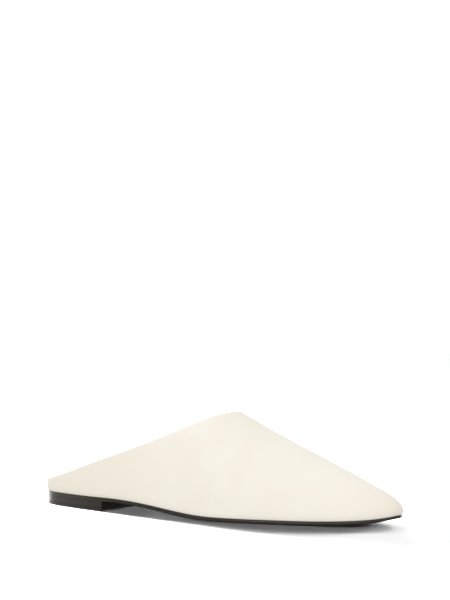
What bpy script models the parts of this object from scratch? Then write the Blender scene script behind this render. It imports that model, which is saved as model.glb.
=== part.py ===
"""Backless flat slipper, right shoe: leather upper, outsole, heel block, top lift and insole.

Run with blender --background --python part.py, or from Blender's text editor.

Frame: +X runs from heel to toe, +Y to the medial (inner) side, +Z up from the floor. The origin is
the middle of the shoe's box, on the floor. The form is worked out in millimetres, measured from the
back of the heel, and turned into metres when each mesh is made.
"""

import bpy
import bmesh
import numpy as np

MM = 0.001

# Overall form, the outline of the last at the feather line, where the upper meets the outsole
FORM_LENGTH = 264.4
SOLE_STEP = 0.2  # outsole edge outside the feather line
SWELL = 1.25  # how far the upper stands out over its foot
SWELL_RISE = 1.7  # height over which it does so
SWELL_FADE = 40.0  # height over which it comes back to the form

# Heights
HEEL_SEAT = 6.0  # underside of the outsole over the heel
TOE_SPRING = 3.8  # rise of the sole from the tread to the toe tip, as an even curve
TOE_TIP_RISE = 1.0  # how much more the last of the tip turns up
TIP_POWER = 10  # power of that turn, which keeps it to the very tip
OUTSOLE_THICKNESS = 2.4
TOE_THINNING = 1.2  # how much thinner the outsole is at the toe tip
GAP = 0.3  # between pieces that touch on the real shoe
WALL = 1.7  # upper leather with its lining
INSOLE_THICKNESS = 1.8
TOP_LIFT_THICKNESS = 1.7

# Places along the form
HEEL_BREAST = 65.5
WAIST_START = 60.0
BALL_START = 161.0
TREAD_END = 205.0
THINNING_START = 240.0

# Widths of turned-in and set-back edges
LASTING_MARGIN = 8.0
INSOLE_INSET = 2.3
INSOLE_TOE_INSET = 3.0  # further in at the toe, where the wall leans over it
INSOLE_TOE = 240.0
INSOLE_EDGE = 0.4
SPINE_FROM_HEEL = 24.0
SPINE_FROM_TOE = 22.0

# Sections of the last, one row each. lateral and medial are half widths at the feather line, ridge is
# the height of the form over it, crest is where the ridge lies across, fullness is the exponent of the
# section's oval (2 is an ellipse).
SECTION_COLUMNS = ("along", "lateral", "medial", "ridge", "crest", "fullness")
SECTIONS = (
    (7.0, 13.9, 13.6, 29.0, -0.4, 2.0),
    (29.0, 22.8, 24.8, 49.5, -1.6, 2.0),
    (57.0, 29.4, 24.0, 58.0, -2.1, 2.0),
    (79.0, 31.4, 21.6, 60.2, -0.8, 2.0),
    (104.0, 32.4, 21.0, 61.6, 1.8, 2.0),
    (129.0, 34.7, 26.2, 67.2, 3.6, 2.1),
    (157.0, 38.3, 36.2, 56.4, 4.5, 2.2),
    (184.0, 34.0, 39.7, 43.8, 4.7, 2.2),
    (214.0, 24.8, 29.5, 32.1, 3.6, 2.2),
    (244.0, 17.1, 16.9, 18.7, 1.8, 2.2),
    (258.0, 10.0, 9.7, 10.75, 0.7, 2.2),
)

# Top edge of the collar seen from the side: height over the floor at places along the form
TOPLINE_COLUMNS = ("along", "height")
TOPLINE = (
    (-5.0, 13.2),
    (29.0, 21.6),
    (59.0, 30.8),
    (89.0, 40.8),
    (114.0, 50.4),
    (129.0, 56.4),
    (149.0, 65.5),
)

# Edge of the outsole, one row per ring from its top down: set_back from the outline, height as a
# share of the thickness, and the share of the set back that is kept under the heel.
OUTSOLE_EDGE_COLUMNS = ("set_back", "height", "under_heel")
OUTSOLE_EDGE = (
    (0.25, 1.00, 1.0),
    (0.00, 0.80, 1.0),
    (0.00, 0.45, 1.0),
    (0.35, 0.15, 0.1),
    (1.10, 0.00, 0.1),
)
EDGE_CHANGE = 16.0  # length over which the lower edge turns round in front of the heel

# Mesh density
HALF_COLUMNS = 48  # columns of the upper from heel to toe on each side
SOLE_COLUMNS = 44
HEEL_COLUMNS = 20
LAG = 0.42  # how far the collar's columns run ahead of the feather line's, as an angle
COLUMN_POINTS = 160  # points down each column before it is thinned to the rows below
COLUMN_CROWDING = 3  # power that crowds those points towards the foot of the column
OUTLINE_POINTS = 721
TOPLINE_STEP = 0.01
TINY = 1e-9
# Rows of the upper's outside and inside as shares of a column's length, and points round its rim
OUTER_ROWS = (0.0, 0.02, 0.045, 0.08, 0.12, 0.17, 0.23, 0.30, 0.39, 0.49, 0.60, 0.72, 0.85, 1.0)
INNER_ROWS = (1.0, 0.85, 0.70, 0.55, 0.40, 0.27, 0.16, 0.07, 0.0)
RIM_ANGLES = (40.0, 90.0, 140.0)
SHARP_ANGLE = 40.0  # edges of the meshes that bend more than this are shown sharp, in degrees

# Colours and finish: base colour, roughness, metallic
FINISHES = {
    "upper": ((0.80, 0.77, 0.68), 0.48, 0.0),
    "outsole": ((0.035, 0.031, 0.028), 0.38, 0.0),
    "heel": ((0.040, 0.036, 0.032), 0.35, 0.0),
    "top_lift": ((0.025, 0.023, 0.022), 0.50, 0.0),
    "insole": ((0.74, 0.68, 0.57), 0.60, 0.0),
}


def column(table, columns, name):
    """One named column of a table, as an array."""
    return np.array([row[columns.index(name)] for row in table])


def spline(stations, values):
    """Cubic spline through the values, free at its ends."""
    stations = np.asarray(stations, float)
    values = np.asarray(values, float)
    count = len(stations)
    step = np.diff(stations)
    slope = np.diff(values) / step
    system = np.zeros((count, count))
    right = np.zeros(count)
    for i in range(1, count - 1):
        system[i, i - 1] = step[i - 1]
        system[i, i] = 2 * (step[i - 1] + step[i])
        system[i, i + 1] = step[i]
        right[i] = 6 * (slope[i] - slope[i - 1])
    system[0, 0] = 1
    system[-1, -1] = 1
    bend = np.linalg.solve(system, right)

    def value(at):
        at = np.asarray(at, float)
        i = np.clip(np.searchsorted(stations, at) - 1, 0, count - 2)
        after = stations[i + 1] - at
        before = at - stations[i]
        curved = (bend[i] * after**3 + bend[i + 1] * before**3) / (6 * step[i])
        straight = (values[i] / step[i] - bend[i] * step[i] / 6) * after
        straight += (values[i + 1] / step[i] - bend[i + 1] * step[i] / 6) * before
        return curved + straight

    return value


def angle_of(along):
    """Places along the form as an angle, 0 at the heel and pi at the toe, so that ends come out round."""
    return np.arccos(np.clip(1 - 2 * np.asarray(along, float) / FORM_LENGTH, -1, 1))


def closed_spline(name):
    """A section column as a spline over the angle that closes to nothing at heel and toe."""
    stations = angle_of(column(SECTIONS, SECTION_COLUMNS, "along"))
    values = column(SECTIONS, SECTION_COLUMNS, name)
    return spline(np.concatenate([[0], stations, [np.pi]]), np.concatenate([[0], values, [0]]))


def open_spline(name):
    """A section column as a plain spline along the form."""
    return spline(
        column(SECTIONS, SECTION_COLUMNS, "along"), column(SECTIONS, SECTION_COLUMNS, name)
    )


lateral_half = closed_spline("lateral")
medial_half = closed_spline("medial")
ridge_over_angle = closed_spline("ridge")
crest_over_angle = closed_spline("crest")
fullness_at = open_spline("fullness")
topline_height = spline(
    column(TOPLINE, TOPLINE_COLUMNS, "along"), column(TOPLINE, TOPLINE_COLUMNS, "height")
)


def smooth_step(share):
    """0 to 1 with no slope and no bend at either end."""
    share = np.clip(share, 0, 1)
    return share**3 * (share * (6 * share - 15) + 10)


def outsole_top(along):
    """Height of the outsole's upper face: heel seat, arch, tread and toe spring."""
    arch = smooth_step((along - WAIST_START) / (BALL_START - WAIST_START))
    spring = np.clip((along - TREAD_END) / (FORM_LENGTH - TREAD_END), 0, 1)
    toe = TOE_SPRING * spring**2 + TOE_TIP_RISE * spring**TIP_POWER
    return HEEL_SEAT * (1 - arch) + toe + OUTSOLE_THICKNESS


def underside(along):
    """Height of the outsole's lower face, which comes nearer to the upper face at the toe."""
    thinning = np.clip((along - THINNING_START) / (FORM_LENGTH - THINNING_START), 0, 1)
    return outsole_top(along) - OUTSOLE_THICKNESS + TOE_THINNING * thinning**2


def feather_height(along):
    """Height of the foot of the upper."""
    return outsole_top(along) + GAP


def half_width(along, side):
    """Half width of the form on the medial side (1) or the lateral side (-1)."""
    angle = angle_of(along)
    return np.where(side < 0, lateral_half(angle), medial_half(angle))


def form_height(along, across):
    """Height of the last over its feather line at a point of the plan."""
    ridge = np.maximum(ridge_over_angle(angle_of(along)), TINY)
    crest = crest_over_angle(angle_of(along))
    side = np.where(across < crest, -1, 1)
    reach = np.maximum(half_width(along, side) - side * crest, TINY)
    share = np.clip(np.abs(across - crest) / reach, 0, 1)
    power = fullness_at(along)
    return ridge * np.clip(1 - share**power, 0, 1) ** (1 / power)


def outline(side, angles, inset=0.0):
    """Plan outline of one side at the given angles, moved in by inset, and its outward directions."""
    fine = np.linspace(0, np.pi, OUTLINE_POINTS)
    along = FORM_LENGTH * (1 - np.cos(fine)) / 2
    points = np.stack([along, side * np.maximum(half_width(along, side), 0)], -1)
    tangent = np.gradient(points, axis=0)
    tangent[0] = (0, side)
    tangent[-1] = (0, -side)
    tangent /= np.linalg.norm(tangent, axis=1)[:, None]
    outward = np.stack([-tangent[:, 1], tangent[:, 0]], -1) * side
    at = np.stack([np.interp(angles, fine, points[:, k]) for k in (0, 1)], -1)
    facing = np.stack([np.interp(angles, fine, outward[:, k]) for k in (0, 1)], -1)
    facing /= np.linalg.norm(facing, axis=1)[:, None]
    return at - np.broadcast_to(inset, angles.shape)[:, None] * facing, facing


def topline_ends():
    """Where the top edge crosses the ridge of the form: at the back of the heel and at the throat."""
    along = np.arange(0, TREAD_END, TOPLINE_STEP)
    ridge = ridge_over_angle(angle_of(along)) + feather_height(along)
    crossings = np.nonzero(np.diff(ridge > topline_height(along)))[0]
    return along[crossings[0]], along[crossings[1]]


def topline_plan(side, angles):
    """Plan points of the top edge, from the back of the heel to the throat."""
    back, throat = topline_ends()
    along = back + (throat - back) * (1 - np.cos(angles)) / 2
    rise = topline_height(along) - feather_height(along)
    ridge = ridge_over_angle(angle_of(along))
    crest = crest_over_angle(angle_of(along))
    power = fullness_at(along)
    reach = half_width(along, side) - side * crest
    share = np.clip(1 - np.clip(rise / ridge, 0, 1) ** power, 0, 1) ** (1 / power)
    across = crest + side * reach * share
    across[0] = crest[0]
    across[-1] = crest[-1]
    return np.stack([along, across], -1)


def column_angles(count):
    """Angles of the columns on one side: even steps, halfway between equal angles and equal lengths."""
    fine = np.linspace(0, np.pi, OUTLINE_POINTS)
    points, _ = outline(-1, fine)
    length = np.concatenate([[0], np.cumsum(np.linalg.norm(np.diff(points, axis=0), axis=1))])
    measure = fine / np.pi + length / length[-1]
    return np.interp(np.linspace(0, 2, count + 1), measure, fine)


def half_surface(side, count):
    """Dense outer surface of one side of the upper: columns from its foot to the top edge."""
    angles = column_angles(count)
    foot, facing = outline(side, angles)
    head = topline_plan(side, angles + LAG * np.sin(angles))
    share = np.linspace(0, 1, COLUMN_POINTS) ** COLUMN_CROWDING
    plan = foot[:, None] + (head - foot)[:, None] * share[None, :, None]
    rise = form_height(plan[..., 0], plan[..., 1])
    rise[:, 0] = 0
    height = feather_height(plan[..., 0]) + rise
    swell = SWELL * (1 - np.exp(-rise / SWELL_RISE)) * np.exp(-((rise / SWELL_FADE) ** 2))
    plan = plan + facing[:, None] * swell[..., None]
    return np.concatenate([plan, height[..., None]], -1)


def join_halves(lateral, medial):
    """Columns right round the shoe: heel to toe on the lateral side, back on the medial side."""
    return np.concatenate([lateral, medial[-2:0:-1]])


def surface_normals(grid):
    """Outward unit normals of a grid of columns that closes round the shoe."""
    around = np.roll(grid, -1, axis=0) - np.roll(grid, 1, axis=0)
    upward = np.gradient(grid, axis=1)
    normal = np.cross(around, upward)
    return normal / np.linalg.norm(normal, axis=2)[..., None]


def resample(line, shares):
    """Points of a polyline at shares of its length."""
    length = np.concatenate([[0], np.cumsum(np.linalg.norm(np.diff(line, axis=0), axis=1))])
    return np.stack([np.interp(np.asarray(shares) * length[-1], length, line[:, k]) for k in range(3)], -1)


def spine_point(along):
    """Point on the middle line that a margin is turned in towards."""
    span = FORM_LENGTH - SPINE_FROM_HEEL - SPINE_FROM_TOE
    at = SPINE_FROM_HEEL + span * np.clip(along / FORM_LENGTH, 0, 1)
    return np.stack([at, (half_width(at, 1) - half_width(at, -1)) / 2], -1)


def turned_in(points, distance):
    """Plan points moved towards the middle line."""
    toward = spine_point(points[..., 0]) - points
    return points + toward * (distance / np.linalg.norm(toward, axis=-1))[..., None]


def upper_profiles():
    """Closed profile of the upper's wall in each column: outside, rim, inside and lasting margin."""
    outer = join_halves(half_surface(-1, HALF_COLUMNS), half_surface(1, HALF_COLUMNS))
    normal = surface_normals(outer)
    inner = outer - WALL * normal
    profiles = []
    for face, back, facing in zip(outer, inner, normal):
        outside = resample(face, OUTER_ROWS)
        floor = feather_height(back[:, 0]) + WALL
        first = np.nonzero(back[:, 2] > floor)[0][0]
        part = (floor[first - 1] - back[first - 1, 2]) / (back[first, 2] - back[first - 1, 2])
        corner = back[first - 1] + np.clip(part, 0, 1) * (back[first] - back[first - 1])
        corner[2] = feather_height(corner[0]) + WALL
        inside = resample(np.concatenate([[corner], back[first:]]), INNER_ROWS)
        upward = face[-1] - face[-2]
        upward /= np.linalg.norm(upward)
        middle = (face[-1] + back[-1]) / 2
        rim = [
            middle + WALL / 2 * (facing[-1] * np.cos(turn) + upward * np.sin(turn))
            for turn in np.radians(RIM_ANGLES)
        ]
        margin = turned_in(corner[None, :2], LASTING_MARGIN)[0]
        edge = feather_height(margin[0])
        flap = [(*margin, edge + WALL), (*margin, edge)]
        profiles.append(np.concatenate([outside, rim, inside, flap]))
    return np.array(profiles)


def loft_closed(rings):
    """Vertices and quads of a surface through closed rings that also closes from last ring to first."""
    count, size = rings.shape[:2]
    faces = []
    for i in range(count):
        for j in range(size):
            i_next = (i + 1) % count
            j_next = (j + 1) % size
            faces.append((i * size + j, i_next * size + j, i_next * size + j_next, i * size + j_next))
    return rings.reshape(-1, 3), faces


def loft_capped(rings):
    """Vertices and faces of a body through stacked rings, its two ends closed with strips across."""
    count, size = rings.shape[:2]
    faces = []
    for i in range(count - 1):
        for j in range(size):
            j_next = (j + 1) % size
            faces.append((i * size + j, i * size + j_next, (i + 1) * size + j_next, (i + 1) * size + j))
    for start in (0, (count - 1) * size):
        faces += [tuple(start + k for k in strip) for strip in strips_across(size)]
    return rings.reshape(-1, 3), faces


def strips_across(size):
    """Faces that fill a ring from side to side, working away from its first point."""
    strips = [(0, 1, size - 1)]
    low, high = 1, size - 1
    while high - low > 2:
        strips.append((low, low + 1, high - 1, high))
        low += 1
        high -= 1
    if high - low == 2:
        strips.append((low, low + 1, high))
    return strips


def ring_outline(angles, inset):
    """Closed plan outline of the whole form, moved in by an inset for each angle or one for all."""
    halves = [outline(side, angles, inset)[0] for side in (-1, 1)]
    return join_halves(*halves)


def outsole_rings():
    """Rings of the outsole's edge from its top face down to its lower face."""
    angles = column_angles(SOLE_COLUMNS)
    along = FORM_LENGTH * (1 - np.cos(angles)) / 2
    ahead = smooth_step((along - HEEL_BREAST) / EDGE_CHANGE)
    rings = []
    set_backs = column(OUTSOLE_EDGE, OUTSOLE_EDGE_COLUMNS, "set_back")
    heights = column(OUTSOLE_EDGE, OUTSOLE_EDGE_COLUMNS, "height")
    heel_shares = column(OUTSOLE_EDGE, OUTSOLE_EDGE_COLUMNS, "under_heel")
    for set_back, height, under_heel in zip(set_backs, heights, heel_shares):
        inset = -SOLE_STEP + set_back * (under_heel + (1 - under_heel) * ahead)
        plan = ring_outline(angles, inset)
        low = underside(plan[:, 0])
        rings.append(with_height(plan, low + height * (outsole_top(plan[:, 0]) - low)))
    return np.array(rings)


def insole_rings():
    """Rings of the insole: top face, edge, the step over the lasting margin and the hollow inside it."""
    angles = column_angles(SOLE_COLUMNS)
    along = FORM_LENGTH * (1 - np.cos(angles)) / 2
    near_toe = smooth_step((along - INSOLE_TOE) / (FORM_LENGTH - INSOLE_TOE))
    inset = INSOLE_INSET + INSOLE_TOE_INSET * near_toe
    edge = ring_outline(angles, inset)
    top_edge = ring_outline(angles, inset + INSOLE_EDGE)
    inside_wall = ring_outline(angles, WALL)
    step = turned_in(inside_wall, LASTING_MARGIN + 2 * GAP)
    seat = WALL + GAP
    top = seat + INSOLE_THICKNESS
    return np.array(
        [
            with_height(top_edge, feather_height(top_edge[:, 0]) + top),
            with_height(edge, feather_height(edge[:, 0]) + top - INSOLE_EDGE),
            with_height(edge, feather_height(edge[:, 0]) + seat),
            with_height(step, feather_height(step[:, 0]) + seat),
            with_height(step, feather_height(step[:, 0])),
        ]
    )


def with_height(plan, height):
    """Plan points with their heights."""
    return np.concatenate([plan, np.broadcast_to(height, len(plan))[:, None]], 1)


def heel_plan():
    """Plan outline of the heel from its back to the straight breast, right round."""
    share = np.linspace(0, 1, HEEL_COLUMNS + 1)
    angles = angle_of(HEEL_BREAST) * share
    halves = [outline(side, angles, -SOLE_STEP)[0] for side in (-1, 1)]
    for half in halves:
        half[-1, 0] = HEEL_BREAST
    return np.concatenate([halves[0], halves[1][:0:-1]])


def heel_rings(low, high):
    """Rings of a slice of the heel between two heights."""
    plan = heel_plan()
    return np.array([with_height(plan, high), with_height(plan, low)])


def make_material(name):
    color, roughness, metallic = FINISHES[name]
    material = bpy.data.materials.new(name)
    material.use_nodes = True
    shader = material.node_tree.nodes["Principled BSDF"]
    shader.inputs["Base Color"].default_value = (*color, 1.0)
    shader.inputs["Roughness"].default_value = roughness
    shader.inputs["Metallic"].default_value = metallic
    return material


def make_piece(name, points, faces, centre, holder):
    """One named object from millimetre points, shifted so that the shoe's box is centred."""
    mesh = bpy.data.meshes.new(name)
    build = bmesh.new()
    vertices = [build.verts.new((point - centre) * MM) for point in points]
    for face in faces:
        build.faces.new([vertices[i] for i in face])
    bmesh.ops.recalc_face_normals(build, faces=build.faces)
    build.to_mesh(mesh)
    build.free()
    mesh.materials.append(make_material(name))
    mesh.shade_smooth()
    mesh.set_sharp_from_angle(angle=np.radians(SHARP_ANGLE))
    piece = bpy.data.objects.new(name, mesh)
    bpy.context.scene.collection.objects.link(piece)
    piece.parent = holder
    return piece


def main():
    for thing in list(bpy.data.objects):
        bpy.data.objects.remove(thing, do_unlink=True)

    block_low = TOP_LIFT_THICKNESS + GAP
    block_high = HEEL_SEAT - GAP
    shapes = {
        "upper": loft_closed(upper_profiles()),
        "outsole": loft_capped(outsole_rings()),
        "heel": loft_capped(heel_rings(block_low, block_high)),
        "top_lift": loft_capped(heel_rings(0.0, TOP_LIFT_THICKNESS)),
        "insole": loft_capped(insole_rings()),
    }
    every_point = np.concatenate([points for points, _ in shapes.values()])
    centre = (every_point.min(axis=0) + every_point.max(axis=0)) / 2
    centre[2] = 0.0

    holder = bpy.data.objects.new("slipper", None)
    bpy.context.scene.collection.objects.link(holder)
    for name, (points, faces) in shapes.items():
        make_piece(name, points, faces, centre, holder)


main()
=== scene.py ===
"""Looks of the backless slipper: leather upper and lining, sock, sole, heel block and top lift.

The form is the frame's own, worked out again here in millimetres from the back of the heel and drawn
more finely. +X runs from heel to toe, +Y to the medial side and +Z up from the floor.
"""

import bmesh
import bpy
import numpy as np
from mathutils import Matrix, Vector


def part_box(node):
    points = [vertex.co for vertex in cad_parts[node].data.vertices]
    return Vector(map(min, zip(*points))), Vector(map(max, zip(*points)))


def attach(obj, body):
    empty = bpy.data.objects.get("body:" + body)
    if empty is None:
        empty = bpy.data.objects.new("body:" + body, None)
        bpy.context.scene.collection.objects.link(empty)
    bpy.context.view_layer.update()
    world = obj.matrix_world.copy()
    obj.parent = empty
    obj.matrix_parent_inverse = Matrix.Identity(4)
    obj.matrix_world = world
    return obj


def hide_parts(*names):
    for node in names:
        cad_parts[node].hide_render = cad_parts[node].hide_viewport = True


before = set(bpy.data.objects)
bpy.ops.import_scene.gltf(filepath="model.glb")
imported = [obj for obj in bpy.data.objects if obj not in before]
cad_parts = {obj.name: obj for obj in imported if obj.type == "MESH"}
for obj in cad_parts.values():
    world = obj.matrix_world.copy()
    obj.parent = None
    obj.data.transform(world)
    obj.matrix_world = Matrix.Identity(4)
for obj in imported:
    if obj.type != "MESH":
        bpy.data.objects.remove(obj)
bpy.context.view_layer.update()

MM = 0.001

# Form of the last and its sole, as in the frame
FORM_LENGTH = 264.4
SOLE_STEP = 0.2  # outsole edge outside the feather line
SWELL = 1.25  # how far the upper stands out over its foot
SWELL_RISE = 1.7  # height over which it does so
SWELL_FADE = 40.0  # height over which it comes back to the form
HEEL_SEAT = 6.0  # underside of the outsole over the heel
TOE_SPRING = 3.8  # rise of the sole from the tread to the toe tip, as an even curve
TOE_TIP_RISE = 1.0  # how much more the last of the tip turns up
TIP_POWER = 10  # power of that turn, which keeps it to the very tip
OUTSOLE_THICKNESS = 2.4
TOE_THINNING = 1.2  # how much thinner the outsole is at the toe tip
GAP = 0.3  # between the frame's own pieces
WALL = 1.7  # upper leather with its lining
INSOLE_THICKNESS = 1.8
TOP_LIFT_THICKNESS = 1.7

# Places along the form, and the ends of the middle line that margins are turned in towards
HEEL_BREAST = 65.5
WAIST_START = 60.0
BALL_START = 161.0
TREAD_END = 205.0
THINNING_START = 240.0
SPINE_FROM_HEEL = 24.0
SPINE_FROM_TOE = 22.0

# Sections of the last, one row each. lateral and medial are half widths at the feather line, ridge is
# the height of the form over it, crest is where the ridge lies across, fullness is the exponent of the
# section's oval (2 is an ellipse).
SECTION_COLUMNS = ("along", "lateral", "medial", "ridge", "crest", "fullness")
SECTIONS = (
    (7.0, 13.9, 13.6, 29.0, -0.4, 2.0),
    (29.0, 22.8, 24.8, 49.5, -1.6, 2.0),
    (57.0, 29.4, 24.0, 58.0, -2.1, 2.0),
    (79.0, 31.4, 21.6, 60.2, -0.8, 2.0),
    (104.0, 32.4, 21.0, 61.6, 1.8, 2.0),
    (129.0, 34.7, 26.2, 67.2, 3.6, 2.1),
    (157.0, 38.3, 36.2, 56.4, 4.5, 2.2),
    (184.0, 34.0, 39.7, 43.8, 4.7, 2.2),
    (214.0, 24.8, 29.5, 32.1, 3.6, 2.2),
    (244.0, 17.1, 16.9, 18.7, 1.8, 2.2),
    (258.0, 10.0, 9.7, 10.75, 0.7, 2.2),
)

# Top edge of the collar seen from the side: height over the floor at places along the form
TOPLINE_COLUMNS = ("along", "height")
TOPLINE = (
    (-5.0, 13.2),
    (29.0, 21.6),
    (59.0, 30.8),
    (89.0, 40.8),
    (114.0, 50.4),
    (129.0, 56.4),
    (149.0, 65.5),
)

# Make of the upper: outer leather folded over the top edge, lining let in just below it
LEATHER = 1.0
LINING_GAP = 0.03
FOLD_START = 12.0  # where the leather begins to turn round the rim, in degrees
FOLD_END = 115.0  # how far round the rim it is folded
FOLD_DROP = 0.8  # how far below the middle of the rim its inner face starts
LINING_EDGE_START = 20.0  # the lining's own round edge, in degrees
LINING_EDGE_END = 160.0
TURN_UNDER = 0.5
LASTING_MARGIN = 8.0
SEAM = 0.04  # hairline between pieces that are glued together

# Edge of the outsole, one row per ring from its top down, as in the frame but rounded: set_back from
# the outline, height as a share of the thickness, share of the set back that is kept under the heel
SOLE_EDGE_COLUMNS = ("set_back", "height", "under_heel")
SOLE_EDGE = (
    (0.75, 1.000, 1.0),
    (0.30, 0.985, 1.0),
    (0.10, 0.930, 1.0),
    (0.00, 0.840, 1.0),
    (0.00, 0.640, 1.0),
    (0.00, 0.450, 1.0),
    (0.07, 0.330, 0.1),
    (0.22, 0.210, 0.1),
    (0.45, 0.105, 0.1),
    (0.75, 0.035, 0.1),
    (1.10, 0.000, 0.1),
)
EDGE_CHANGE = 16.0  # length over which the lower edge turns round in front of the heel

# Sock: thin leather over the insole, its edge lying against the lining
SOCK_EDGE_INSET = 1.75
SOCK_TOE_INSET = 1.6  # how much further in at the toe, where the wall leans over it
SOCK_TOE = 240.0
SOCK_BASE_INSET = 1.0  # how far its underside stands in from its edge
SOCK_ROUND = 0.5  # height of its rounded edge
SOCK_ROUND_WIDTH = 0.35
SOCK_ROUND_SHARE = 0.6  # share of that height over which its top still rises from its edge
SOCK_CUP = 0.9  # how much lower its middle lies than its edge
SOCK_CUP_WIDTH = 9.0
SOCK_MIDDLE = 0.97  # how near its rings come to the middle line

# Heel block and top lift
BREAST_ROUND = 1.1  # radius of the two corners of the breast in plan
BLOCK_ROUND = 0.18
LIFT_ROUND = 0.35
LIFT_GROOVE = 0.12  # how far the wearing piece stands back from the block

# Mesh density
UPPER_COLUMNS = 132
SOLE_COLUMNS = 96
HEEL_COLUMNS = 40
LAG = 0.42  # how far the collar's columns run ahead of the feather line's, as an angle
COLUMN_POINTS = 400
COLUMN_CROWDING = 3  # power that crowds those points towards the foot of the column
OUTLINE_POINTS = 1441
TOPLINE_STEP = 0.01
LEATHER_OUTSIDE_ROWS = (72, 1.35)  # rows down a profile, and the power that crowds them to its ends
LEATHER_INSIDE_ROWS = (28, 1.2)
LEATHER_RIM_ROWS = 9
LINING_OUTSIDE_ROWS = (16, 1.2)
LINING_INSIDE_ROWS = (56, 1.3)
LINING_RIM_ROWS = 6
SOCK_RINGS = 34
SOCK_CROWDING = 1.6  # power that crowds those rings towards the sock's edge
CORNER_POINTS = 7
EDGE_TURNS = (0.0, 22.5, 45.0, 67.5, 90.0)  # rings round an edge of the heel, in degrees
SHARP_ANGLE = 50.0  # edges that bend more than this are shown sharp, in degrees
MERGE_DISTANCE = 1e-7  # in metres
TINY = 1e-9

# Leather: widths of its features and depth of its unevenness, in metres
CLOUD_SIZE = 0.022
SLACK_SIZE = 0.012
SLACK_DEPTH = 0.00012
SHEEN_SIZE = 0.004
SHEEN_CHANGE = (-0.03, 0.04)  # how far its roughness ranges below and above the leather's own
PEBBLE_SIZE = 0.0008
PORE_SIZE = 0.0003
CLOUD_SHARE = 0.4  # strength of the clouds on leather whose ends also carry a painted shade
PAINTED_SHADE_ENDS = (-0.060, 0.005, 0.080, 0.150)  # places along X between which the painted shade at heel and toe fades, in metres

# Sole and heel: widths and depths in metres, and how much lighter their lighter patches are
DYE_SIZE = 0.008
DYE_LIGHTENING = 1.25
BRUSH_SIZE = 0.0006
BRUSH_DEPTH = 0.00001
BRUSH_STRETCH = (0.06, 0.06, 1.0)  # draws noise out into level lines round the edge
RUBBER_PATCH_SIZE = 0.002
RUBBER_LIGHTENING = 1.5
STIPPLE_SIZE = 0.0007
STIPPLE_DEPTH = 0.00005

# Polish of the sole and heel
EDGE_SHINE = 0.3
EDGE_SHINE_TINT = (1.0, 0.9, 0.78, 1)
UNDERSIDE_SHINE = 0.04
UNDERSIDE_ROUGHNESS = 0.7
UNDERSIDE_TURN = (-0.55, -0.05)  # upward part of a face's direction, from underneath to a side
BREAST_TURN = (0.6, 0.9)  # forward part of a face's direction, from a side to the breast

# Stage: a floor and a bright card just below it, sizes in metres
FLOOR_SIZE = 8.0
FLOOR_DROP = 0.0002
FLOOR_GREY = 0.03
FLOOR_ROUGHNESS = 0.9
CARD_DROP = 0.005
CARD_STRENGTH = 0.70

# Lamps, one row each: azimuth and elevation that the light comes from and its spread as seen from the
# slipper, in degrees, its strength, and what it lights: everything, the floor alone, or the polish of
# the edges
LAMP_COLUMNS = ("name", "azimuth", "elevation", "spread", "strength", "lights")
LAMPS = (
    ("back_light", -120.0, 30.0, 40.0, 1.0, "all"),
    ("front_light", 5.0, 10.0, 40.0, 0.70, "all"),
    ("toe_light", 60.0, 8.0, 40.0, 0.08, "all"),
    ("heel_glint", -117.0, 0.0, 45.0, 1.4, "edges"),
    ("toe_glint", 60.0, 0.0, 40.0, 0.6, "edges"),
    ("floor_left_low", -105.0, 4.0, 5.0, 2970.0, "floor"),
    ("floor_left", -105.0, 8.0, 14.0, 450.0, "floor"),
    ("floor_behind_low", -145.0, 4.0, 5.0, 145.0, "floor"),
    ("floor_behind_high", -145.0, 36.0, 5.0, 33.6, "floor"),
    ("floor_back_low", 165.0, 8.0, 14.0, 151.0, "floor"),
    ("floor_back", 180.0, 28.0, 14.0, 71.9, "floor"),
    ("floor_back_right", 150.0, 28.0, 14.0, 18.7, "floor"),
    ("floor_front_right", 30.0, 18.0, 14.0, 22.8, "floor"),
    ("floor_front_left", -30.0, 18.0, 14.0, 11.5, "floor"),
)

# Camera: direction in degrees that it stands in from its target, distance and target in millimetres
CAMERA_AZIMUTH = 34.83
CAMERA_ELEVATION = 5.24
CAMERA_DISTANCE = 1000.0
CAMERA_TARGET = (134.0, 0.0, 20.0)
TARGET_SPOT = (-0.01794, -0.40349)  # where the target falls, in widths of the frame from its middle
FOCAL_WIDTHS = 3.5053  # focal length, in widths of the frame
SENSOR = 36.0
CLIP_START = 0.05  # in metres
CLIP_END = 50.0
AIM_STEPS = 40  # rounds of turning it until the target falls on its spot


# ---- The last: splines through the tables, its plan, heights and top edge ----


def column(table, columns, name):
    """One named column of a table, as an array."""
    return np.array([row[columns.index(name)] for row in table])


def spline(stations, values):
    """Cubic spline through the values, free at its ends."""
    stations = np.asarray(stations, float)
    values = np.asarray(values, float)
    count = len(stations)
    step = np.diff(stations)
    slope = np.diff(values) / step
    system = np.zeros((count, count))
    right = np.zeros(count)
    for i in range(1, count - 1):
        system[i, i - 1] = step[i - 1]
        system[i, i] = 2 * (step[i - 1] + step[i])
        system[i, i + 1] = step[i]
        right[i] = 6 * (slope[i] - slope[i - 1])
    system[0, 0] = 1
    system[-1, -1] = 1
    bend = np.linalg.solve(system, right)

    def value(at):
        at = np.asarray(at, float)
        i = np.clip(np.searchsorted(stations, at) - 1, 0, count - 2)
        after = stations[i + 1] - at
        before = at - stations[i]
        curved = (bend[i] * after**3 + bend[i + 1] * before**3) / (6 * step[i])
        straight = (values[i] / step[i] - bend[i] * step[i] / 6) * after
        straight += (values[i + 1] / step[i] - bend[i + 1] * step[i] / 6) * before
        return curved + straight

    return value


def angle_of(along):
    """Places along the form as angles, 0 at the heel and pi at the toe, so that ends come out round."""
    return np.arccos(np.clip(1 - 2 * np.asarray(along, float) / FORM_LENGTH, -1, 1))


def along_at(angles):
    """Places along the form from such angles."""
    return FORM_LENGTH * (1 - np.cos(angles)) / 2


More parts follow.
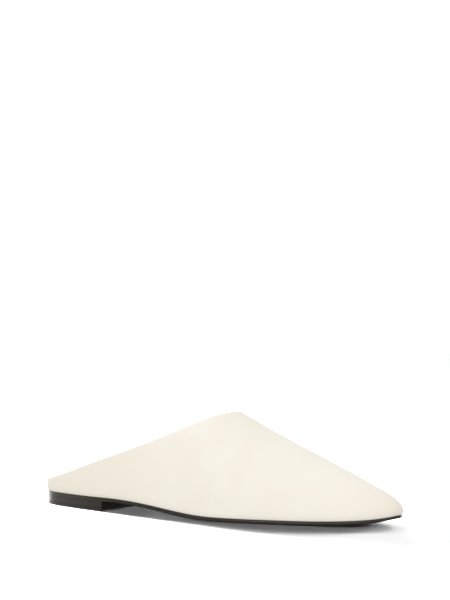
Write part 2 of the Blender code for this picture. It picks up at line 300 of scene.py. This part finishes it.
def closed_spline(name):
    """A section column as a spline over the angle that closes to nothing at heel and toe."""
    stations = angle_of(column(SECTIONS, SECTION_COLUMNS, "along"))
    values = column(SECTIONS, SECTION_COLUMNS, name)
    return spline(np.concatenate([[0], stations, [np.pi]]), np.concatenate([[0], values, [0]]))


lateral_half = closed_spline("lateral")
medial_half = closed_spline("medial")
ridge_over_angle = closed_spline("ridge")
crest_over_angle = closed_spline("crest")
fullness_at = spline(
    column(SECTIONS, SECTION_COLUMNS, "along"), column(SECTIONS, SECTION_COLUMNS, "fullness")
)
topline_height = spline(
    column(TOPLINE, TOPLINE_COLUMNS, "along"), column(TOPLINE, TOPLINE_COLUMNS, "height")
)


def smooth_step(share):
    """0 to 1 with no slope and no bend at either end."""
    share = np.clip(share, 0, 1)
    return share**3 * (share * (6 * share - 15) + 10)


def outsole_top(along):
    """Height of the outsole's upper face: heel seat, arch, tread and toe spring."""
    arch = smooth_step((along - WAIST_START) / (BALL_START - WAIST_START))
    spring = np.clip((along - TREAD_END) / (FORM_LENGTH - TREAD_END), 0, 1)
    toe = TOE_SPRING * spring**2 + TOE_TIP_RISE * spring**TIP_POWER
    return HEEL_SEAT * (1 - arch) + toe + OUTSOLE_THICKNESS


def underside(along):
    """Height of the outsole's lower face, which comes nearer to the upper face at the toe."""
    thinning = np.clip((along - THINNING_START) / (FORM_LENGTH - THINNING_START), 0, 1)
    return outsole_top(along) - OUTSOLE_THICKNESS + TOE_THINNING * thinning**2


def feather_height(along):
    """Height of the foot of the upper."""
    return outsole_top(along) + GAP


def half_width(along, side):
    """Half width of the form on the medial side (1) or the lateral side (-1)."""
    angle = angle_of(along)
    return np.where(side < 0, lateral_half(angle), medial_half(angle))


def form_height(along, across):
    """Height of the last over its feather line at a point of the plan."""
    ridge = np.maximum(ridge_over_angle(angle_of(along)), TINY)
    crest = crest_over_angle(angle_of(along))
    side = np.where(across < crest, -1, 1)
    reach = np.maximum(half_width(along, side) - side * crest, TINY)
    share = np.clip(np.abs(across - crest) / reach, 0, 1)
    power = fullness_at(along)
    return ridge * np.clip(1 - share**power, 0, 1) ** (1 / power)


def outline(side, angles, inset=0.0):
    """Plan outline of one side at the given angles, moved in by inset, and its outward directions."""
    fine = np.linspace(0, np.pi, OUTLINE_POINTS)
    along = along_at(fine)
    points = np.stack([along, side * np.maximum(half_width(along, side), 0)], -1)
    tangent = np.gradient(points, axis=0)
    tangent[0] = (0, side)
    tangent[-1] = (0, -side)
    tangent /= np.linalg.norm(tangent, axis=1)[:, None]
    outward = np.stack([-tangent[:, 1], tangent[:, 0]], -1) * side
    at = np.stack([np.interp(angles, fine, points[:, k]) for k in (0, 1)], -1)
    facing = np.stack([np.interp(angles, fine, outward[:, k]) for k in (0, 1)], -1)
    facing /= np.linalg.norm(facing, axis=1)[:, None]
    return at - np.broadcast_to(inset, angles.shape)[:, None] * facing, facing


def topline_ends():
    """Where the top edge crosses the ridge of the form: at the back of the heel and at the throat."""
    along = np.arange(0, TREAD_END, TOPLINE_STEP)
    ridge = ridge_over_angle(angle_of(along)) + feather_height(along)
    crossings = np.nonzero(np.diff(ridge > topline_height(along)))[0]
    return along[crossings[0]], along[crossings[1]]


def topline_plan(side, angles):
    """Plan points of the top edge, from the back of the heel to the throat."""
    back, throat = topline_ends()
    along = back + (throat - back) * (1 - np.cos(angles)) / 2
    rise = topline_height(along) - feather_height(along)
    ridge = ridge_over_angle(angle_of(along))
    crest = crest_over_angle(angle_of(along))
    power = fullness_at(along)
    reach = half_width(along, side) - side * crest
    share = np.clip(1 - np.clip(rise / ridge, 0, 1) ** power, 0, 1) ** (1 / power)
    across = crest + side * reach * share
    across[0] = crest[0]
    across[-1] = crest[-1]
    return np.stack([along, across], -1)


# ---- The upper in columns from its foot to the top edge, with steps that sole and sock share ----


def length_along(line):
    """Length of a polyline up to each of its points."""
    return np.concatenate([[0], np.cumsum(np.linalg.norm(np.diff(line, axis=0), axis=1))])


def column_angles(count):
    """Angles of the columns on one side: even steps, halfway between equal angles and equal lengths."""
    fine = np.linspace(0, np.pi, OUTLINE_POINTS)
    points, _ = outline(-1, fine)
    length = length_along(points)
    measure = fine / np.pi + length / length[-1]
    return np.interp(np.linspace(0, 2, count + 1), measure, fine)


def half_surface(side, count):
    """Dense outer surface of one side of the upper: columns from its foot to the top edge."""
    angles = column_angles(count)
    foot, facing = outline(side, angles)
    head = topline_plan(side, angles + LAG * np.sin(angles))
    share = np.linspace(0, 1, COLUMN_POINTS) ** COLUMN_CROWDING
    plan = foot[:, None] + (head - foot)[:, None] * share[None, :, None]
    rise = form_height(plan[..., 0], plan[..., 1])
    rise[:, 0] = 0
    height = feather_height(plan[..., 0]) + rise
    swell = SWELL * (1 - np.exp(-rise / SWELL_RISE)) * np.exp(-((rise / SWELL_FADE) ** 2))
    plan = plan + facing[:, None] * swell[..., None]
    return np.concatenate([plan, height[..., None]], -1)


def join_halves(lateral, medial):
    """Columns right round the shoe: heel to toe on the lateral side, back on the medial side."""
    return np.concatenate([lateral, medial[-2:0:-1]])


def surface_normals(grid):
    """Outward unit normals of a grid of columns that closes round the shoe."""
    around = np.roll(grid, -1, axis=0) - np.roll(grid, 1, axis=0)
    upward = np.gradient(grid, axis=1)
    normal = np.cross(around, upward)
    return normal / np.linalg.norm(normal, axis=2)[..., None]


def resample(line, shares):
    """Points of a polyline at shares of its length."""
    length = length_along(line)
    return np.stack([np.interp(shares * length[-1], length, line[:, k]) for k in range(3)], -1)


def spine_point(along):
    """Point on the middle line that a margin is turned in towards."""
    span = FORM_LENGTH - SPINE_FROM_HEEL - SPINE_FROM_TOE
    at = SPINE_FROM_HEEL + span * np.clip(along / FORM_LENGTH, 0, 1)
    return np.stack([at, (half_width(at, 1) - half_width(at, -1)) / 2], -1)


def turned_in(points, distance):
    """Plan points moved towards the middle line."""
    toward = spine_point(points[..., 0]) - points
    return points + toward * (distance / np.linalg.norm(toward, axis=-1))[..., None]


def with_height(plan, height):
    """Plan points with their heights."""
    return np.concatenate([plan, np.broadcast_to(height, len(plan))[:, None]], 1)


def ring_outline(angles, inset):
    """Closed plan outline of the whole form, moved in by an inset for each angle or one for all."""
    return join_halves(*[outline(side, angles, inset)[0] for side in (-1, 1)])


def above(line, floor):
    """The part of a line, from its first point over a floor, with that crossing as its start."""
    level = floor(line[:, 0])
    first = np.nonzero(line[:, 2] > level)[0][0]
    if first == 0:
        return line
    part = (level[first - 1] - line[first - 1, 2]) / (line[first, 2] - line[first - 1, 2])
    start = line[first - 1] + np.clip(part, 0, 1) * (line[first] - line[first - 1])
    return np.concatenate([[start], line[first:]])


def crowded(count, power):
    """Shares from 0 to 1 that crowd towards both ends."""
    even = np.linspace(0, 1, count)
    near = even**power
    return near / (near + (1 - even) ** power)


def rim_arc(middle, radius, outward, upward, turns):
    """Points of a round edge about a point in the middle of the wall."""
    turns = np.radians(turns)[:, None]
    return middle + radius * (outward * np.cos(turns) + upward * np.sin(turns))


def upper_wall():
    """Dense outer surface of the upper, its normals and the direction of each column at the top edge."""
    outer = join_halves(half_surface(-1, UPPER_COLUMNS), half_surface(1, UPPER_COLUMNS))
    normal = surface_normals(outer)
    upward = outer[:, -1] - outer[:, -2]
    upward /= np.linalg.norm(upward, axis=1)[:, None]
    return outer, normal, upward


def leather_profiles(outer, normal, upward):
    """Closed profile of the outer leather in each column: outside, folded rim, inside and margin."""
    outside_shares = crowded(*LEATHER_OUTSIDE_ROWS)
    inside_shares = crowded(*LEATHER_INSIDE_ROWS)[::-1]
    turns = np.linspace(FOLD_START, FOLD_END, LEATHER_RIM_ROWS)
    profiles = []
    for face, out, up in zip(outer, normal, upward):
        foot = face[0]
        under = turned_in(foot[None, :2], TURN_UNDER)[0]
        turn = [(*under, outsole_top(under[0]) + SEAM)]
        outside = resample(face, outside_shares)
        middle = face[-1] - WALL / 2 * out[-1]
        fold = rim_arc(middle, WALL / 2, out[-1], up, turns)
        back = above(face - LEATHER * out, lambda along: outsole_top(along) + SEAM + LEATHER)
        inside = resample(back, inside_shares)
        inside[0] -= FOLD_DROP * up
        margin = turned_in(under[None], LASTING_MARGIN)[0]
        level = outsole_top(margin[0]) + SEAM
        flap = [(*margin, level + LEATHER), (*margin, level)]
        profiles.append(np.concatenate([turn, outside, fold, inside, flap]))
    return np.array(profiles)


def lining_foot(along):
    """Height that the lining comes down to, just over the leather's margin."""
    return feather_height(along) + LEATHER + GAP


def lining_profiles(outer, normal, upward):
    """Closed profile of the lining: its face towards the leather, its round edge and its inside."""
    outside_shares = crowded(*LINING_OUTSIDE_ROWS)
    inside_shares = crowded(*LINING_INSIDE_ROWS)[::-1]
    turns = np.linspace(LINING_EDGE_START, LINING_EDGE_END, LINING_RIM_ROWS)
    radius = (WALL - LEATHER - LINING_GAP) / 2
    profiles = []
    for face, out, up in zip(outer, normal, upward):
        hidden = above(face - (LEATHER + LINING_GAP) * out, lining_foot)
        shown = above(face - WALL * out, lining_foot)
        middle = (hidden[-1] + shown[-1]) / 2
        edge = rim_arc(middle, radius, out[-1], up, turns)
        profiles.append(
            np.concatenate([resample(hidden, outside_shares), edge, resample(shown, inside_shares)])
        )
    return np.array(profiles)


# ---- Meshes through rings ----


def loft_closed(rings):
    """Vertices and quads of a surface through closed rings that also closes from last ring to first."""
    count, size = rings.shape[:2]
    faces = []
    for i in range(count):
        for j in range(size):
            i_next = (i + 1) % count
            j_next = (j + 1) % size
            faces.append((i * size + j, i_next * size + j, i_next * size + j_next, i * size + j_next))
    return rings.reshape(-1, 3), faces


def strips_across(size):
    """Faces that fill a ring from side to side, working away from its first point."""
    strips = [(0, 1, size - 1)]
    low, high = 1, size - 1
    while high - low > 2:
        strips.append((low, low + 1, high - 1, high))
        low += 1
        high -= 1
    if high - low == 2:
        strips.append((low, low + 1, high))
    return strips


def loft_capped(rings):
    """Vertices and faces of a body through stacked rings, its two ends closed with strips across."""
    count, size = rings.shape[:2]
    faces = []
    for i in range(count - 1):
        for j in range(size):
            j_next = (j + 1) % size
            faces.append((i * size + j, i * size + j_next, (i + 1) * size + j_next, (i + 1) * size + j))
    for start in (0, (count - 1) * size):
        faces += [tuple(start + k for k in strip) for strip in strips_across(size)]
    return rings.reshape(-1, 3), faces


# ---- Sole, sock and heel ----


def sole_rings():
    """Rings of the sole's edge from its top face down to its lower face."""
    angles = column_angles(SOLE_COLUMNS)
    along = along_at(angles)
    ahead = smooth_step((along - HEEL_BREAST) / EDGE_CHANGE)
    set_backs = column(SOLE_EDGE, SOLE_EDGE_COLUMNS, "set_back")
    heights = column(SOLE_EDGE, SOLE_EDGE_COLUMNS, "height")
    heel_shares = column(SOLE_EDGE, SOLE_EDGE_COLUMNS, "under_heel")
    rings = []
    for set_back, height, under_heel in zip(set_backs, heights, heel_shares):
        inset = -SOLE_STEP + set_back * (under_heel + (1 - under_heel) * ahead)
        plan = ring_outline(angles, inset)
        low = underside(plan[:, 0])
        rings.append(with_height(plan, low + height * (outsole_top(plan[:, 0]) - low)))
    return np.array(rings)


def sock_mesh():
    """The insole with its sock: a cupped top of rings that run in to the middle line, edge and base."""
    angles = column_angles(SOLE_COLUMNS)
    along = along_at(angles)
    near_toe = smooth_step((along - SOCK_TOE) / (FORM_LENGTH - SOCK_TOE))
    inset = SOCK_EDGE_INSET + SOCK_TOE_INSET * near_toe
    top = WALL + GAP + INSOLE_THICKNESS
    edge = ring_outline(angles, inset)
    seat = turned_in(edge, SOCK_BASE_INSET)
    rings = [
        with_height(seat, feather_height(seat[:, 0]) + WALL),
        with_height(edge, feather_height(edge[:, 0]) + WALL + GAP),
        with_height(edge, feather_height(edge[:, 0]) + top - SOCK_ROUND),
    ]
    spine = spine_point(edge[:, 0])
    reach = np.linalg.norm(spine - edge, axis=1)
    for share in SOCK_MIDDLE * np.linspace(0, 1, SOCK_RINGS) ** SOCK_CROWDING:
        plan = edge + (spine - edge) * share
        distance = reach * share
        cup = SOCK_CUP * (1 - np.exp(-((distance / SOCK_CUP_WIDTH) ** 2)))
        roll = SOCK_ROUND * SOCK_ROUND_SHARE * np.exp(-distance / SOCK_ROUND_WIDTH)
        rings.append(with_height(plan, feather_height(plan[:, 0]) + top - roll - cup))
    return loft_capped(np.array(rings))


def heel_plan(inset):
    """Plan outline of the heel from its back to the breast, its corners rounded, right round."""
    breast = HEEL_BREAST - inset
    share = np.linspace(0, 1, HEEL_COLUMNS + 1)
    corner = np.linspace(0, np.pi / 2, CORNER_POINTS)
    halves = []
    for side in (-1, 1):
        side_line = outline(side, angle_of(breast - BREAST_ROUND) * share, inset - SOLE_STEP)[0]
        end = side_line[-1]
        centre = end - side * np.array([0, BREAST_ROUND])
        turn = centre + BREAST_ROUND * np.stack([np.sin(corner), side * np.cos(corner)], -1)
        halves.append(np.concatenate([side_line[:-1], turn]))
    return np.concatenate([halves[0], halves[1][:0:-1]])


def heel_rings(low, high, rounding, inset):
    """Rings of a slice of the heel between two heights, with rounded edges."""
    turns = np.radians(EDGE_TURNS)
    plans = [heel_plan(inset + rounding * (1 - np.sin(turn))) for turn in turns]
    steps = rounding * (1 - np.cos(turns))
    upper_edge = [with_height(plan, high - step) for plan, step in zip(plans, steps)]
    lower_edge = [with_height(plan, low + step) for plan, step in zip(plans, steps)]
    return np.array(upper_edge + lower_edge[::-1])


# ---- Materials ----


class Shader:
    """A Principled material with short calls for the procedural nodes that feed it."""

    def __init__(self, name):
        self.material = bpy.data.materials.new(name)
        self.material.use_nodes = True
        self.nodes = self.material.node_tree.nodes
        self.links = self.material.node_tree.links
        self.principled = self.nodes["Principled BSDF"]
        self.place = self.nodes.new("ShaderNodeTexCoord").outputs["Object"]

    def set(self, **values):
        """Fixed values for the material's sockets, by name with _ for a space."""
        for name, value in values.items():
            self.principled.inputs[name.replace("_", " ")].default_value = value

    def link(self, output, name):
        """Feed a socket of the material."""
        self.links.new(output, self.principled.inputs[name])

    def stretched(self, scale):
        """Places stretched along the axes whose scale is small."""
        node = self.nodes.new("ShaderNodeMapping")
        node.inputs["Scale"].default_value = scale
        self.links.new(self.place, node.inputs["Vector"])
        return node.outputs["Vector"]

    def noise(self, size, detail, vector=None):
        """Noise whose features are about size metres wide."""
        node = self.nodes.new("ShaderNodeTexNoise")
        node.inputs["Scale"].default_value = 1 / size
        node.inputs["Detail"].default_value = detail
        self.links.new(vector or self.place, node.inputs["Vector"])
        return node.outputs["Fac"]

    def patches(self, size, detail, low=0.0, high=1.0, turn=0.2):
        """Soft patches about size metres wide between two values, turning near the middle of a noise."""
        return self.shape(self.noise(size, detail), 0.5 - turn, 0.5 + turn, low, high)

    def cells(self, size, feature="F1"):
        """Voronoi cells about size metres wide."""
        node = self.nodes.new("ShaderNodeTexVoronoi")
        node.feature = feature
        node.inputs["Scale"].default_value = 1 / size
        self.links.new(self.place, node.inputs["Vector"])
        return node.outputs["Distance"]

    def shape(self, value, low, high, to_low, to_high):
        """A value moved from one range to another."""
        node = self.nodes.new("ShaderNodeMapRange")
        node.interpolation_type = "SMOOTHSTEP"
        self.links.new(value, node.inputs["Value"])
        ends = {"From Min": low, "From Max": high, "To Min": to_low, "To Max": to_high}
        for name, number in ends.items():
            node.inputs[name].default_value = number
        return node.outputs["Result"]

    def between(self, share, first, second):
        """A number between two by a share from 0 to 1."""
        return self.shape(share, 0.0, 1.0, first, second)

    def tint(self, factor, first, second):
        """Colour between two by a factor."""
        node = self.nodes.new("ShaderNodeMix")
        node.data_type = "RGBA"
        self.links.new(factor, node.inputs["Factor"])
        node.inputs["A"].default_value = (*first, 1)
        node.inputs["B"].default_value = (*second, 1)
        return node.outputs["Result"]

    def painted_shade_toward_ends(self, places):
        """Mask of a painted shade: 0 in the middle of the slipper to 1 at its ends, turning between two
        pairs of places.
        """
        parts = self.nodes.new("ShaderNodeSeparateXYZ")
        self.links.new(self.place, parts.inputs["Vector"])
        heel, heel_start, toe_start, toe = places
        near_heel = self.shape(parts.outputs["X"], heel, heel_start, 1.0, 0.0)
        near_toe = self.shape(parts.outputs["X"], toe_start, toe, 0.0, 1.0)
        return self.larger(near_heel, near_toe)

    def larger(self, first, second):
        """The larger of two values."""
        node = self.nodes.new("ShaderNodeMath")
        node.operation = "MAXIMUM"
        self.links.new(first, node.inputs[0])
        self.links.new(second, node.inputs[1])
        return node.outputs["Value"]

    def unpolished(self, front):
        """0 on sides, 1 on faces that look down and, if asked, on those that look ahead."""
        geometry = self.nodes.new("ShaderNodeNewGeometry")
        parts = self.nodes.new("ShaderNodeSeparateXYZ")
        self.links.new(geometry.outputs["Normal"], parts.inputs["Vector"])
        down = self.shape(parts.outputs["Z"], *UNDERSIDE_TURN, 1.0, 0.0)
        if not front:
            return down
        return self.larger(down, self.shape(parts.outputs["X"], *BREAST_TURN, 0.0, 1.0))

    def bump(self, height, depth, strength, under=None):
        """Relief of about depth metres, on top of another one."""
        node = self.nodes.new("ShaderNodeBump")
        node.inputs["Strength"].default_value = strength
        node.inputs["Distance"].default_value = depth
        self.links.new(height, node.inputs["Height"])
        if under is not None:
            self.links.new(under, node.inputs["Normal"])
        return node.outputs["Normal"]


def nappa(name, light, dark, roughness, grain, ends=None):
    """Smooth leather: a faint cloudiness of colour, fine grain and a softly uneven surface, and, given
    ends, a darker painted shade towards heel and toe.
    """
    shader = Shader(name)
    shader.set(IOR=1.45, Specular_IOR_Level=0.4)
    cloud_and_shade = shader.patches(CLOUD_SIZE, detail=2.0)
    if ends:
        # painted shade: the darker tone deepens towards heel and toe
        cloud_and_shade = shader.larger(shader.between(cloud_and_shade, 0.0, CLOUD_SHARE), shader.painted_shade_toward_ends(ends))
    shader.link(shader.tint(cloud_and_shade, light, dark), "Base Color")
    below, over = SHEEN_CHANGE
    sheen = shader.patches(SHEEN_SIZE, detail=3.0, low=roughness + below, high=roughness + over)
    shader.link(sheen, "Roughness")
    slack = shader.bump(shader.noise(SLACK_SIZE, detail=2.0), SLACK_DEPTH, strength=0.35)
    pebble = shader.bump(shader.cells(PEBBLE_SIZE, "SMOOTH_F1"), grain, strength=0.35, under=slack)
    pores = shader.bump(shader.noise(PORE_SIZE, detail=2.0), grain / 2, strength=0.3, under=pebble)
    shader.link(pores, "Normal")
    return shader.material


def painted_edge(name, color, roughness, front=False):
    """Dyed leather, nearly black: waxed and polished on its sides, matt underneath."""
    shader = Shader(name)
    shader.set(Specular_Tint=EDGE_SHINE_TINT)
    lighter = tuple(channel * DYE_LIGHTENING for channel in color)
    shader.link(shader.tint(shader.patches(DYE_SIZE, detail=3.0), color, lighter), "Base Color")
    matt = shader.unpolished(front)
    shader.link(shader.between(matt, EDGE_SHINE, UNDERSIDE_SHINE), "Specular IOR Level")
    shader.link(shader.between(matt, roughness, UNDERSIDE_ROUGHNESS), "Roughness")
    lines = shader.noise(BRUSH_SIZE, detail=2.0, vector=shader.stretched(BRUSH_STRETCH))
    shader.link(shader.bump(lines, BRUSH_DEPTH, strength=0.25), "Normal")
    return shader.material


def rubber(name, color, roughness):
    """Black rubber with a fine stipple, trimmed smooth round its sides."""
    shader = Shader(name)
    shader.set(Roughness=roughness)
    lighter = tuple(channel * RUBBER_LIGHTENING for channel in color)
    tone = shader.patches(RUBBER_PATCH_SIZE, detail=3.0, turn=0.15)
    shader.link(shader.tint(tone, color, lighter), "Base Color")
    matt = shader.unpolished(front=True)
    shader.link(shader.between(matt, EDGE_SHINE, UNDERSIDE_SHINE), "Specular IOR Level")
    shader.link(shader.bump(shader.cells(STIPPLE_SIZE), STIPPLE_DEPTH, strength=0.4), "Normal")
    return shader.material


# ---- Pieces ----


def make_piece(name, shape, centre, material, stands_for=None):
    """One piece of the slipper from millimetre points, riding on the frame."""
    points, faces = shape
    mesh = bpy.data.meshes.new(name)
    mesh.from_pydata(((points - centre) * MM).tolist(), [], faces)
    build = bmesh.new()
    build.from_mesh(mesh)
    bmesh.ops.dissolve_degenerate(build, dist=MERGE_DISTANCE, edges=build.edges)
    bmesh.ops.recalc_face_normals(build, faces=build.faces)
    build.to_mesh(mesh)
    build.free()
    mesh.materials.append(material)
    mesh.shade_smooth()
    mesh.set_sharp_from_angle(angle=np.radians(SHARP_ANGLE))
    piece = bpy.data.objects.new(name, mesh)
    bpy.context.scene.collection.objects.link(piece)
    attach(piece, "root")
    if stands_for:
        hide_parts(stands_for)
    return piece


def form_centre():
    """Where the frame's origin lies in the form's own millimetres, from the breast and the widest point."""
    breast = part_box("heel")[1].x / MM
    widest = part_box("outsole")[1].y / MM
    edge = ring_outline(column_angles(SOLE_COLUMNS), -SOLE_STEP)
    return np.array([HEEL_BREAST - breast, edge[:, 1].max() - widest, 0.0])


def build_slipper(centre):
    """All the visible pieces; gives back those with polished edges."""
    cream = nappa(
        "cream_nappa",
        light=(0.815, 0.775, 0.69),
        # the dark tone also serves as painted shade towards heel and toe
        dark=(0.782, 0.731, 0.636),
        roughness=0.50,
        grain=0.00004,
        ends=PAINTED_SHADE_ENDS,
    )
    inner = nappa(
        "lining_leather", light=(0.76, 0.70, 0.58), dark=(0.74, 0.67, 0.55), roughness=0.60, grain=0.00003
    )
    beige = nappa(
        "sock_leather", light=(0.74, 0.67, 0.54), dark=(0.71, 0.64, 0.51), roughness=0.58, grain=0.00004
    )
    dark = painted_edge("painted_sole", color=(0.012, 0.0105, 0.0085), roughness=0.28)
    block = painted_edge("painted_heel", color=(0.010, 0.009, 0.0075), roughness=0.28, front=True)
    black = rubber("black_rubber", color=(0.009, 0.008, 0.008), roughness=0.4)

    wall = upper_wall()
    make_piece("upper_leather", loft_closed(leather_profiles(*wall)), centre, cream, "upper")
    make_piece("upper_lining", loft_closed(lining_profiles(*wall)), centre, inner)
    make_piece("sock", sock_mesh(), centre, beige, "insole")
    sole = make_piece("sole", loft_capped(sole_rings()), centre, dark, "outsole")
    block_rings = heel_rings(TOP_LIFT_THICKNESS + SEAM, HEEL_SEAT - SEAM, BLOCK_ROUND, 0.0)
    heel = make_piece("heel_block", loft_capped(block_rings), centre, block, "heel")
    lift_rings = heel_rings(0.0, TOP_LIFT_THICKNESS, LIFT_ROUND, LIFT_GROOVE)
    lift = make_piece("heel_top_lift", loft_capped(lift_rings), centre, black, "top_lift")
    return [sole, heel, lift]


# ---- Stage, light and camera ----


def stage_plane(name, size, height):
    """Square plane under the slipper, which isn't part of it, and the sockets of its material."""
    mesh = bpy.data.meshes.new(name)
    half = size / 2
    square = [(-half, -half, 0), (half, -half, 0), (half, half, 0), (-half, half, 0)]
    mesh.from_pydata(square, [], [(0, 1, 2, 3)])
    plane = bpy.data.objects.new(name, mesh)
    plane.location.z = height
    bpy.context.scene.collection.objects.link(plane)
    material = bpy.data.materials.new(name)
    material.use_nodes = True
    mesh.materials.append(material)
    return plane, material.node_tree.nodes["Principled BSDF"].inputs


def make_floor():
    """Plain floor that has lamps of its own, over a white card that lights the slipper from below."""
    floor, finish = stage_plane("floor", FLOOR_SIZE, -FLOOR_DROP)
    finish["Base Color"].default_value = (FLOOR_GREY, FLOOR_GREY, FLOOR_GREY, 1)
    finish["Roughness"].default_value = FLOOR_ROUGHNESS
    finish["Specular IOR Level"].default_value = 0.0
    floor.visible_diffuse = False
    floor.visible_glossy = False
    floor.visible_shadow = False
    card, finish = stage_plane("bounce_card", FLOOR_SIZE, -CARD_DROP)
    finish["Base Color"].default_value = (0, 0, 0, 1)
    finish["Specular IOR Level"].default_value = 0.0
    finish["Emission Color"].default_value = (1, 1, 1, 1)
    finish["Emission Strength"].default_value = CARD_STRENGTH
    card.visible_camera = False
    card.visible_glossy = False
    card.visible_shadow = False
    return floor


def make_world():
    """White studio all round."""
    world = bpy.data.worlds.new("studio")
    bpy.context.scene.world = world
    world.use_nodes = True
    backdrop = world.node_tree.nodes["Background"].inputs
    backdrop["Color"].default_value = (1, 1, 1, 1)
    backdrop["Strength"].default_value = 1.0


def facing_back(azimuth, elevation):
    """Direction from what is looked at back to the viewer."""
    flat = np.cos(elevation)
    return np.array((np.sin(azimuth) * flat, -np.cos(azimuth) * flat, np.sin(elevation)))


def receivers(name, pieces):
    """Collection of the only things that a lamp linked to it lights."""
    lit = bpy.data.collections.new(name)
    for piece in pieces:
        lit.objects.link(piece)
    return lit


def make_lamps(floor, polished):
    """Distant soft lamps. The floor's make it pale and shape the shadow; the edges' add gloss alone."""
    lit = {"floor": receivers("lit_floor", [floor]), "edges": receivers("lit_edges", polished)}
    for row in LAMPS:
        lamp_data = dict(zip(LAMP_COLUMNS, row))
        light = bpy.data.lights.new(lamp_data["name"], "SUN")
        light.energy = lamp_data["strength"]
        light.angle = np.radians(lamp_data["spread"])
        lamp = bpy.data.objects.new(lamp_data["name"], light)
        bpy.context.scene.collection.objects.link(lamp)
        from_direction = facing_back(np.radians(lamp_data["azimuth"]), np.radians(lamp_data["elevation"]))
        lamp.rotation_euler = Vector(from_direction).to_track_quat("Z", "Y").to_euler()
        if lamp_data["lights"] in lit:
            lamp.light_linking.receiver_collection = lit[lamp_data["lights"]]
        if lamp_data["lights"] == "edges":
            light.diffuse_factor = 0.0


def make_camera(centre):
    """Camera at a given direction from its target, turned so that the target falls on its spot."""
    azimuth = np.radians(CAMERA_AZIMUTH)
    elevation = np.radians(CAMERA_ELEVATION)
    target = np.array(CAMERA_TARGET)
    back = facing_back(azimuth, elevation)
    eye = target + CAMERA_DISTANCE * back
    for _ in range(AIM_STEPS):
        back = facing_back(azimuth, elevation)
        right = np.array((np.cos(azimuth), np.sin(azimuth), 0.0))
        up = np.cross(back, right)
        ray = target - eye
        depth = -ray @ back
        azimuth += TARGET_SPOT[0] / FOCAL_WIDTHS - (ray @ right) / depth
        elevation += TARGET_SPOT[1] / FOCAL_WIDTHS - (ray @ up) / depth
    camera = bpy.data.cameras.new("camera")
    camera.sensor_fit = "HORIZONTAL"
    camera.sensor_width = SENSOR
    camera.lens = SENSOR * FOCAL_WIDTHS
    camera.clip_start = CLIP_START
    camera.clip_end = CLIP_END
    holder = bpy.data.objects.new("camera", camera)
    bpy.context.scene.collection.objects.link(holder)
    turn = Matrix((right, up, back)).transposed().to_4x4()
    holder.matrix_world = Matrix.Translation(Vector((eye - centre) * MM)) @ turn
    bpy.context.scene.camera = holder


# ---- The whole scene ----


centre = form_centre()
polished = build_slipper(centre)
make_world()
make_lamps(make_floor(), polished)
make_camera(centre)
bpy.context.scene.view_settings.view_transform = "Standard"
